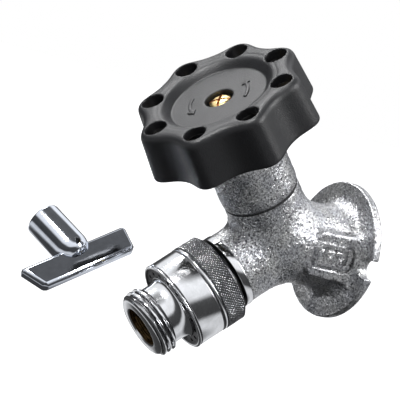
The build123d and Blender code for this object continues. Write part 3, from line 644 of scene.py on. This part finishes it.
def wheel_distance(p):
    """Lobed bell with a dished top, eight holes, a hub and ribs. Coordinates are the wheel's own."""
    x, y, h = p.T
    radius = np.maximum(np.hypot(x, y), 1e-6)
    turn = np.arctan2(y, x) - math.radians(LOBE_PHASE)
    drop = (rim_level - h) / (rim_level - wheel_bottom)
    lobe = LOBE_TOP + (LOBE_BOTTOM - LOBE_TOP) * drop
    valley = VALLEY_TOP + (VALLEY_BOTTOM - VALLEY_TOP) * drop
    swing = (lobe - valley) / 2
    outline = (lobe + valley) / 2 + swing * (np.cos(LOBES * turn) + 0.10 * np.cos(2 * LOBES * turn) - 0.10)
    lean = LOBES * swing * np.sin(LOBES * turn) / radius
    side = (radius - outline) / np.sqrt(1 + lean ** 2)
    body = blend_max(side, h - rim_level, 3.2)
    body = blend_max(body, wheel_bottom - h, 1.2)
    ceiling = rim_level - RIM_THICKNESS
    hollow = blend_max(side + WHEEL_WALL, h - ceiling, 3.0)
    body = cut(body, hollow, 0.8)
    dish_level = rim_level - DISH_DEPTH
    plate_base = dish_level - PLATE
    hub_base = nut_top + WHEEL_HUB_GAP
    plate = np.maximum(radius - PLATE_RADIUS, np.maximum(plate_base - h, h - rim_level + 0.8))
    hub = np.maximum(radius - WHEEL_HUB_RADIUS, np.maximum(hub_base - h, h - dish_level))
    sector = 2 * math.pi / LOBES
    nearest = (turn % sector) - sector / 2
    rib = np.abs(radius * np.sin(nearest)) - RIB_HALF_THICK
    rib = np.maximum(rib, np.maximum(ceiling - RIB_HEIGHT - h, h - ceiling))
    rib = np.maximum(rib, np.maximum(RIB_START - radius, side + WHEEL_WALL / 2))
    inner = blend_min(blend_min(plate, hub, 2.0), rib, 1.2)
    body = blend_min(body, inner, 1.2)
    climb = np.clip((radius - DISH_RADIUS) / (DISH_LIP - DISH_RADIUS), 0, 1)
    floor = dish_level + DISH_DEPTH * np.sin(climb * math.pi / 2)
    steepest = DISH_DEPTH * math.pi / 2 / (DISH_LIP - DISH_RADIUS)
    slope = np.where((climb > 0) & (climb < 1), steepest * np.cos(climb * math.pi / 2), 0)
    dish = np.maximum((floor - h) / np.sqrt(1 + slope ** 2), radius - DISH_LIP - 0.6)
    body = cut(body, dish, 0.7)
    recess = np.maximum(radius - RECESS_RADIUS, dish_level - RECESS_DEPTH - h)
    body = cut(body, recess, 0.5)
    hole_turn = (turn + sector / 2) % sector - sector / 2
    hole = np.hypot(radius * np.cos(hole_turn) - HOLE_CIRCLE, radius * np.sin(hole_turn)) - HOLE_RADIUS
    body = cut(body, hole, 0.4)
    socket_top = dish_level - RECESS_DEPTH - SCREW_SEAT
    socket = np.maximum(np.maximum(np.abs(x), np.abs(y)) - STEM_SQUARE_HALF, h - socket_top)
    body = np.maximum(body, -socket)
    return np.maximum(body, -(radius - SCREW_HOLE_RADIUS))


def build_wheel():
    step = 0.45
    size = LOBE_BOTTOM + 1
    low, high = (-size, -size, wheel_bottom - 1), (size, size, rim_level + 1)
    points, faces = surface_net(wheel_distance, low, high, step)
    world = junction + points[:, :1] * wheel_x + points[:, 1:2] * wheel_y + points[:, 2:] * wheel_z
    piece = new_piece("lobed_handwheel", world, faces, BLACK, "spindle", 50)
    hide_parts("handwheel")
    mark = arrow_points()
    for side in (0, 1):
        turn = math.radians(ARROW_TURN) + side * math.pi
        arrow_mark(f"turn_arrow_{side + 1}", mark, turn)


def arrow_points():
    """Outline of a curved arrow as (radius, turn in degrees)."""
    inner, outer = ARROW_RADIUS - ARROW_HALF_WIDTH, ARROW_RADIUS + ARROW_HALF_WIDTH
    tail, neck, point = -30, 18, 30
    sweep = list(range(tail, neck + 1, 4))
    head = [(outer + ARROW_BARB, neck), (ARROW_RADIUS, point), (inner - ARROW_BARB, neck)]
    return [(outer, a) for a in sweep] + head + [(inner, a) for a in reversed(sweep)]


def arrow_mark(name, outline, turn):
    """A raised arrow on the dish floor that shows the way to turn."""
    base = rim_level - DISH_DEPTH - 0.3
    ring = []
    for level in (base, base + ARROW_HEIGHT):
        for radius, angle in outline:
            a = turn + math.radians(angle)
            outward = math.cos(a) * wheel_x + math.sin(a) * wheel_y
            ring.append(junction + radius * outward + level * wheel_z)
    count = len(outline)
    faces = [(i, (i + 1) % count, count + (i + 1) % count, count + i) for i in range(count)]
    faces += [tuple(range(count - 1, -1, -1)), tuple(range(count, 2 * count))]
    piece = new_piece(name, ring, faces, BLACK, "spindle", 30)
    add_bevel(piece, 0.18, 2)


def add_bevel(piece, width, segments=2, angle=35):
    """Round a piece's sharp edges and keep the result in its mesh."""
    bevel = piece.modifiers.new("edges", "BEVEL")
    bevel.width = width * MM
    bevel.segments = segments
    bevel.limit_method = "ANGLE"
    bevel.angle_limit = math.radians(angle)
    bevel.harden_normals = False
    settle(piece)


def settle(piece):
    """Apply a piece's modifiers to its mesh."""
    bpy.context.view_layer.update()
    made = bpy.data.meshes.new_from_object(piece.evaluated_get(bpy.context.evaluated_depsgraph_get()))
    piece.modifiers.clear()
    piece.data = made
    made.polygons.foreach_set("use_smooth", [True] * len(made.polygons))
    made.set_sharp_from_angle(angle=math.radians(35))


def carve(piece, cutters):
    """Take cutters out of a piece."""
    for cutter in cutters:
        boolean = piece.modifiers.new("cut", "BOOLEAN")
        boolean.operation = "DIFFERENCE"
        boolean.solver = "EXACT"
        boolean.object = cutter
    settle(piece)
    for cutter in cutters:
        bpy.data.objects.remove(cutter)


def join(piece, other):
    """Make one closed piece of two that overlap."""
    boolean = piece.modifiers.new("join", "BOOLEAN")
    boolean.operation = "UNION"
    boolean.solver = "EXACT"
    boolean.object = other
    settle(piece)
    bpy.data.objects.remove(other)


def box_piece(name, centre, axes, half, material, body):
    """A box from its centre, three directions and half sizes."""
    signs = [(a, b, c) for a in (-1, 1) for b in (-1, 1) for c in (-1, 1)]
    points = [centre + sum(s * h * d for s, h, d in zip(sign, half, axes)) for sign in signs]
    faces = [(0, 1, 3, 2), (4, 6, 7, 5), (0, 4, 5, 1), (2, 3, 7, 6), (0, 2, 6, 4), (1, 5, 7, 3)]
    return new_piece(name, points, faces, material, body)


def screw_brass():
    """Brass head with rust in its cross."""
    m = Nodes("screw_brass")
    m.metal()
    centre = tuple(float(c) * MM for c in junction)
    shifted = m.node("VectorMath", {0: m.place, 1: centre}, operation="SUBTRACT").outputs["Vector"]
    arms = []
    for angle in CROSS_ANGLES:
        across = math.cos(math.radians(angle)) * wheel_x + math.sin(math.radians(angle)) * wheel_y
        side = np.cross(stem_axis, across)
        dot = m.node("VectorMath", {0: shifted, 1: tuple(side)}, operation="DOT_PRODUCT").outputs["Value"]
        size = m.node("Math", {0: dot}, operation="ABSOLUTE").outputs["Value"]
        arms.append(m.node("Math", {0: size, 1: 1 / MM}, operation="MULTIPLY").outputs["Value"])
    near = m.node("Math", {0: arms[0], 1: arms[1]}, operation="MINIMUM").outputs["Value"]
    wobble = m.node("Math", {0: m.noise(0.9, 3.0), 1: 0.8}, operation="MULTIPLY").outputs["Value"]
    edge = m.node("Math", {0: near, 1: wobble}, operation="ADD").outputs["Value"]
    rust = [(0.45, (0.16, 0.035, 0.012)), (0.85, (0.45, 0.17, 0.05)), (1.0, (0.92, 0.72, 0.34))]
    m.link(m.ramp(edge, rust), "Base Color")
    m.link(m.grey_ramp(edge, [(0.5, 0.75), (1.0, 0.22)]), "Roughness")
    m.link(m.bump(m.noise(0.4, 3.0), 0.3, 0.1), "Normal")
    return m.material


def build_screw():
    head_base = screw_top - SCREW_HEAD_HEIGHT
    outline = rounded([
        (0.0, screw_base), (SCREW_RADIUS, screw_base, 0.3), (SCREW_RADIUS, head_base, 0.1),
        (SCREW_HEAD_RADIUS - 0.05, head_base, 0.3), (SCREW_HEAD_RADIUS, screw_top - 1.0, 0.5),
        (3.0, screw_top - 0.15, 1.0), (0.0, screw_top, 0.0),
    ], 0.2)
    piece = lathe("brass_handle_screw", outline, stem_axis, screw_brass(), "spindle", 96)
    cutters = []
    for angle in CROSS_ANGLES:
        a = math.radians(angle)
        across = math.cos(a) * wheel_x + math.sin(a) * wheel_y
        axes = (across, np.cross(stem_axis, across), stem_axis)
        cutters.append(box_piece(f"slot_{angle}", along(stem_axis, screw_top), axes, CROSS_HALF_SIZES,
                                 BRASS, "spindle"))
    carve(piece, cutters)
    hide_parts("handle_screw")


# ======== vacuum breaker ==================================
def build_knurl():
    start, end = knurl_start, shell_start - 0.1
    bore = THREAD_RADIUS + 0.06
    spigot = SHELL_BORE - 0.1
    washer_end = nose_end + WASHER_THICKNESS
    face = [(bore, start), (KNURL_RADIUS - 1.8, start), (KNURL_RADIUS - 1.3, start + 0.1),
            (KNURL_RADIUS - 0.1, start + KNURL_BEVEL)]
    band = [(KNURL_RADIUS, level) for level in levels(start + KNURL_BEVEL, end - 0.35, 0.16)]
    rest = [(KNURL_RADIUS - 0.5, end), (spigot, end), (spigot, spigot_end), (BREAKER_WATERWAY, spigot_end),
            (BREAKER_WATERWAY, washer_end), (bore, washer_end)]

    def shape(radius, level, turn):
        on = radius > KNURL_RADIUS - 1e-6
        pitch = 2 * math.pi * KNURL_RADIUS / KNURL_LINES
        u = (KNURL_LINES * turn / (2 * math.pi) + level / pitch) % 1
        v = (KNURL_LINES * turn / (2 * math.pi) - level / pitch) % 1
        groove = np.minimum(np.abs(2 * u - 1), np.abs(2 * v - 1))
        depth = KNURL_DEPTH * (1 - np.clip(groove / 0.75, 0, 1))
        mark = np.exp(-((turn - seam_turn(level, start)) / 0.022) ** 2) * 0.4
        return radius - on * np.maximum(depth, mark)

    segments = 900
    piece = lathe("knurled_breaker_body", face + band + rest, outlet_axis, CHROME, "valve",
                  segments, shape, angle=70)
    # Everything but the knurl's crests is painted dark: painted shade in the grooves and on the face behind the
    # knurl.
    darken(piece, lambda radius, level: (radius < KNURL_RADIUS - 0.13) | (level < start + 1.05))
    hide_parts("breaker_body")


def seam_turn(level, start):
    """The diagonal line of the break-off screw's slot across the knurl."""
    return math.radians(SEAM_TURN) - (level - start - 4) * 0.035


def build_shell():
    top, waist, land = SHELL_RADIUS, SHELL_RADIUS - 0.35, SHELL_RADIUS - 0.15
    opening = SHOULDER_RADIUS + 0.1
    start, end = shell_start, shell_end
    inner_face = end - SHELL_LIP
    outline = rounded([
        (SHELL_BORE, start, 0.1), (top, start, 0.2), (top, start + 0.9, 0.2),
        (waist, start + 1.1, 0.2), (waist, start + 1.7, 0.1), (land, start + 1.9, 0.2),
        (land, end - 1.5, 0.2), (waist - 0.1, end - 1.3, 0.15),
        (waist - 0.1, end - 1.1, 0.1), (top, end - 0.9, 0.2), (top, end - 0.3, 0.4),
        (top - 0.9, end, 0.4), (top - 1.4, end - 0.5, 0.4),
        (opening, end - 0.4, 0.1), (opening, inner_face, 0.1), (SHELL_BORE, inner_face, 0.1),
    ], 0.2)
    piece = lathe("smooth_breaker_shell", outline, outlet_axis, CHROME, "valve", 192)
    x_dir, y_dir = local_frame(outlet_axis)[:2]
    hole = [(0.0, end - 2.5), (VENT_RADIUS, end - 2.5), (VENT_RADIUS, end + 1), (0.0, end + 1)]
    cutters = []
    for i in range(VENT_COUNT):
        turn = 2 * math.pi * i / VENT_COUNT
        centre = junction + VENT_CIRCLE * (math.cos(turn) * x_dir + math.sin(turn) * y_dir)
        cutters.append(lathe(f"vent_{i}", hole, outlet_axis, CHROME, "valve", 20,
                             origin=centre))
    carve(piece, cutters)
    # The recessed end face and the two narrow grooves near the shell's ends are painted dark: painted shade.
    darken(piece, lambda radius, level: (radius < top - 1.2) & (level > end - 1.6)
           | (radius > top - 0.6) & (radius < top - 0.25) & (level < end - 0.8))
    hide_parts("breaker_shell")


def build_nozzle():
    root = THREAD_RADIUS - THREAD_DEPTH
    thread_start = tip - NOZZLE_THREAD_LENGTH
    chamber_floor = spigot_end + DIAPHRAGM_THICKNESS + NOZZLE_CHAMBER_DEPTH
    lip, inner_face = SHELL_BORE - 0.1, shell_end - SHELL_LIP
    cone = []
    for step in range(9):
        t = step / 8
        flare = (SHOULDER_RADIUS - NECK_OF_NOZZLE) * (1 - math.sin(t * math.pi / 2))
        cone.append((NECK_OF_NOZZLE + flare, shell_end - 0.2 + CONE_LENGTH * t ** 1.6))
    neck = [(NECK_OF_NOZZLE, thread_start - 0.5)]
    thread = [(root, level) for level in levels(thread_start, tip - 0.75, 0.14)]
    mouth = [(root - 0.35, tip - 0.3), (root - 0.9, tip), (BORE_RADIUS + 0.45, tip),
             (BORE_RADIUS, tip - 0.45)]
    bore = [(BORE_RADIUS, level) for level in levels(tip - 0.7, chamber_floor, 0.2)]
    inside = [(NOZZLE_CHAMBER_RADIUS, chamber_floor), (NOZZLE_CHAMBER_RADIUS, nozzle_start),
              (lip, nozzle_start), (lip, inner_face), (SHOULDER_RADIUS, inner_face)]
    outline = inside + cone + neck + thread + mouth + bore

    def shape(radius, level, turn):
        on = (np.abs(radius - root) < 1e-6) & (level > thread_start - 0.01)
        fade = np.clip((level - thread_start) / 0.7, 0, 1) * np.clip((tip - 0.7 - level) / 1.2, 0, 1)
        outer = on * fade * THREAD_DEPTH * thread_wave(level, turn, THREAD_PITCH)
        inner = (np.abs(radius - BORE_RADIUS) < 1e-6) * (level < tip - 0.6)
        ribs = BORE_RIB_DEPTH * thread_wave(level, turn, BORE_RIB_PITCH)
        return radius + outer - inner * ribs

    piece = lathe("hose_thread_nozzle", outline, outlet_axis, CHROME, "valve",
                  224, shape)
    # The bore is painted dark brass: brass colour with painted shade deep in the bore.
    darken(piece, lambda radius, level: (radius < BORE_RADIUS + 0.1) & (level < tip - 0.4), BRASS_IN_PAINTED_SHADE)
    # The nozzle thread's roots and flanks are painted dark: painted shade between the crests.
    darken(piece, lambda radius, level: (radius < root + 0.35) & (radius > root - 0.1)
           & (level > thread_start) & (level < tip - 0.9))
    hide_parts("nozzle")


def build_nozzle_tab():
    """Small tab inside the nozzle's mouth."""
    x_dir, y_dir, axis = local_frame(outlet_axis)
    turn = math.radians(TAB_TURN)
    outward = math.cos(turn) * x_dir + math.sin(turn) * y_dir
    centre = along(outlet_axis, tip - 1.5) + outward * (BORE_RADIUS - 0.9)
    tab = box_piece("nozzle_tab", centre, (outward, np.cross(axis, outward), axis), (1.3, 2.1, 0.9),
                    CHROME, "valve")
    add_bevel(tab, 0.2)


def darken(piece, where, material=SHADOW_CHROME):
    """Give the faces in grooves and behind edges a dark material as painted shade. where(radius, level) about the
    outlet picks them.
    """
    piece.data.materials.append(material)
    slot = len(piece.data.materials) - 1
    count = len(piece.data.polygons)
    centres = np.empty(3 * count)
    piece.data.polygons.foreach_get("center", centres)
    offset = centres.reshape(-1, 3) / MM - junction
    level = offset @ outlet_axis
    radius = np.sqrt(np.maximum((offset ** 2).sum(1) - level ** 2, 0))
    index = np.zeros(count, int)
    piece.data.polygons.foreach_get("material_index", index)
    index[where(radius, level)] = slot
    piece.data.polygons.foreach_set("material_index", index)


def build_spring():
    """The check spring as a coil of round wire between the CAD spring's ends."""
    low, high = reach("check_spring", outlet_axis)
    steps, sides = 120, 10
    x_dir, y_dir, axis = local_frame(outlet_axis)
    rise = high - low - 2 * SPRING_WIRE
    points, faces = [], []
    for i in range(steps + 1):
        turn = 2 * math.pi * SPRING_TURNS * i / steps
        outward = math.cos(turn) * x_dir + math.sin(turn) * y_dir
        ahead = 2 * math.pi * SPRING_TURNS * SPRING_RADIUS * np.cross(axis, outward) + rise * axis
        across = np.cross(ahead / np.linalg.norm(ahead), outward)
        centre = along(axis, low + SPRING_WIRE + rise * i / steps) + SPRING_RADIUS * outward
        for k in range(sides):
            bend = 2 * math.pi * k / sides
            points.append(centre + SPRING_WIRE * (math.cos(bend) * outward + math.sin(bend) * across))
    for i in range(steps):
        for k in range(sides):
            m = (k + 1) % sides
            faces.append((i * sides + k, i * sides + m, (i + 1) * sides + m, (i + 1) * sides + k))
    faces += [tuple(range(sides)), tuple(range(steps * sides, (steps + 1) * sides))]
    piece = new_piece("check_spring_coil", points, faces, BRIGHT_STEEL, "valve")
    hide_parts("check_spring")
    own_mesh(piece)


# ======== tee key =========================================
def key_axes():
    """Long, socket and face directions of the key, from its socket's mount and its CAD mesh."""
    socket = np.array(mounts["key_socket"]["axis"], float)
    face = np.array(max(nodes["tee_key"].data.polygons, key=lambda polygon: polygon.area).normal)
    long_dir = np.cross(socket, face)
    long_dir = long_dir / np.linalg.norm(long_dir)
    return long_dir, socket, np.cross(long_dir, socket)


def build_key():
    long_dir, socket, face = key_axes()
    mount = mounts["key_socket"]
    mouth = np.array(mount["pos_m"]) / MM + socket * (mount["dims"]["length_mm"] / 2)
    centre = mouth - socket * KEY_MOUTH
    far_half = KEY_HALF_LONG - KEY_SLANT
    outline = [(KEY_HALF_LONG, KEY_HALF_WIDTH), (-KEY_HALF_LONG, KEY_HALF_WIDTH),
               (-far_half, -KEY_HALF_WIDTH), (far_half, -KEY_HALF_WIDTH)]
    ring = [centre + u * long_dir + v * socket + t * face
            for t in (-KEY_HALF_THICK, KEY_HALF_THICK) for u, v in outline]
    faces = [(0, 1, 2, 3), (7, 6, 5, 4)] + [(i, (i + 1) % 4, 4 + (i + 1) % 4, 4 + i) for i in range(4)]
    blade = new_piece("tee_key_blade", ring, faces, KEY_CHROME, "key")
    add_bevel(blade, KEY_CHAMFER, 1)
    add_bevel(blade, 0.25, 2, 20)
    mouth_level = KEY_MOUTH - KEY_MOUTH_GAP
    socket_outline = rounded([
        (0.0, 1.0, 0.0), (2.3, 1.0, 0.1), (4.8, 1.7, 0.6), (6.5, 3.5, 0.9), (KEY_BARREL, 6.0, 1.2),
        (KEY_BARREL, mouth_level, 1.6), (5.0, mouth_level, 0.2),
        (5.0, KEY_MOUTH - 6, 0.2), (0.0, KEY_MOUTH - 7, 0.0),
    ], 0.2)
    barrel = lathe("tee_key_barrel", socket_outline, socket, KEY_CHROME, "key", 128,
                   origin=centre)
    square = box_piece("square", centre + socket * (KEY_MOUTH - 9.5), (long_dir, socket, face),
                       (KEY_SQUARE_HALF, KEY_SQUARE_DEPTH / 2, KEY_SQUARE_HALF),
                       KEY_CHROME, "key")
    carve(barrel, [square])
    join(blade, barrel)
    blade.name = "tee_key_whole"
    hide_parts("tee_key")


# ======== small parts =====================================
def dress_small_parts():
    """Small CAD parts keep their shape and take smooth shading."""
    for node in nodes.values():
        node.data.polygons.foreach_set("use_smooth", [True] * len(node.data.polygons))
        node.data.set_sharp_from_angle(angle=math.radians(30))


# ======== studio ==========================================
# Angles in degrees, lens and sensor in millimetres, places and distances in metres.
CAMERA_AZIMUTH, CAMERA_ELEVATION, CAMERA_ROLL = 55.83, 8.38, 18.90
CAMERA_DISTANCE, CAMERA_LENS, CAMERA_SENSOR = 0.8432, 208.7, 36.0
AIM = Vector((0.02061, -0.08348, 0.01055))
FLOOR_DROP, FLOOR_HALF, FLOOR_GLOW = 0.90, 8.0, 0.75
# Brightness of the reflected studio from straight below (0) to straight above (1).
STUDIO_STOPS = [
    (0.0, 0.05), (0.20, 0.06), (0.26, 0.75), (0.34, 0.65), (0.39, 0.05), (0.63, 0.07), (0.70, 0.90),
    (0.88, 1.10), (0.94, 0.12),
]


def build_camera():
    """Camera aimed at the middle of the valve. Returns its right, up and back directions."""
    azimuth, elevation = math.radians(CAMERA_AZIMUTH), math.radians(CAMERA_ELEVATION)
    back = Vector((math.sin(azimuth) * math.cos(elevation), -math.cos(azimuth) * math.cos(elevation),
                   math.sin(elevation)))
    right = Vector((math.cos(azimuth), math.sin(azimuth), 0))
    up = back.cross(right)
    roll = math.radians(CAMERA_ROLL)
    right, up = right * math.cos(roll) + up * math.sin(roll), up * math.cos(roll) - right * math.sin(roll)
    data = bpy.data.cameras.new("camera")
    data.lens = CAMERA_LENS
    data.sensor_width = CAMERA_SENSOR
    data.clip_start, data.clip_end = 0.01, 20.0
    camera = bpy.data.objects.new("camera", data)
    bpy.context.scene.collection.objects.link(camera)
    camera.matrix_world = Matrix.Translation(AIM + back * CAMERA_DISTANCE) @ Matrix(
        (right, up, back)).transposed().to_4x4()
    bpy.context.scene.camera = camera
    return right, up, back


def build_floor():
    """A wide pale floor well below the valve, which hangs from its wall pipe."""
    material = bpy.data.materials.new("pale_floor")
    material.use_nodes = True
    shader = material.node_tree.nodes["Principled BSDF"]
    shader.inputs["Base Color"].default_value = (0.9, 0.9, 0.9, 1)
    shader.inputs["Roughness"].default_value = 1.0
    shader.inputs["Emission Color"].default_value = (1, 1, 1, 1)
    shader.inputs["Emission Strength"].default_value = FLOOR_GLOW
    level = cad_low.z - FLOOR_DROP
    corners = [(x * FLOOR_HALF, y * FLOOR_HALF, level) for x, y in ((-1, -1), (1, -1), (1, 1), (-1, 1))]
    mesh = bpy.data.meshes.new("floor")
    mesh.from_pydata(corners, [], [(0, 1, 2, 3)])
    mesh.materials.append(material)
    floor = bpy.data.objects.new("floor", mesh)
    bpy.context.scene.collection.objects.link(floor)
    floor.visible_glossy = False
    floor.visible_diffuse = False


def build_world():
    """White where the camera looks, and a studio of bright boxes and dark flags for reflections."""
    world = bpy.data.worlds.new("studio")
    world.use_nodes = True
    bpy.context.scene.world = world
    tree = world.node_tree
    tree.nodes.clear()
    direction = add_node(tree, "TexCoord").outputs["Generated"]
    split = add_node(tree, "SeparateXYZ", {0: direction})
    height = add_node(tree, "MapRange", {0: split.outputs["Z"], 1: -1.0, 2: 1.0}).outputs[0]
    stops = [(position, (level, level * 1.01, level * 1.03)) for position, level in STUDIO_STOPS]
    reflected = add_ramp(tree, height, stops)
    seen = add_node(tree, "Background", {"Color": (1, 1, 1, 1), "Strength": 1.0})
    felt = add_node(tree, "Background", {"Color": reflected, "Strength": 1.0})
    path = add_node(tree, "LightPath")
    mixed = add_node(tree, "MixShader", {0: path.outputs["Is Camera Ray"], 1: felt.outputs[0],
                                         2: seen.outputs[0]})
    output = add_node(tree, "OutputWorld")
    tree.links.new(mixed.outputs[0], output.inputs["Surface"])


def softbox(name, away, size, power):
    """A soft area light of a size in metres and a power in watts, away from the aim and facing it."""
    data = bpy.data.lights.new(name, "AREA")
    data.shape = "RECTANGLE"
    data.size, data.size_y = size
    data.energy = power
    lamp = bpy.data.objects.new(name, data)
    bpy.context.scene.collection.objects.link(lamp)
    lamp.location = AIM + away
    lamp.rotation_mode = "QUATERNION"
    turn = (-away).to_track_quat("-Z", "Y")
    lamp.rotation_quaternion = turn


def build_lights(right, up, back):
    """Two lights placed in the world's directions, and one beside the camera in the camera's own."""
    softbox("key_light", Vector((0.03, -0.68, 0.73)) * 0.9, (0.26, 0.16), 8.0)
    softbox("side_light", right * 0.85 + up * 0.30 + back * 0.25, (0.14, 0.50), 5.5)
    softbox("top_light", Vector((-0.65, -0.15, 0.75)) * 0.9, (0.30, 0.30), 3.0)


build_casting()
build_collar()
build_inlet_thread()
build_bonnet()
build_wheel()
build_screw()
build_knurl()
build_shell()
build_nozzle()
build_nozzle_tab()
build_spring()
build_key()
dress_small_parts()
camera_right, camera_up, camera_back = build_camera()
build_floor()
build_world()
build_lights(camera_right, camera_up, camera_back)
bpy.context.scene.view_settings.view_transform = "Standard"
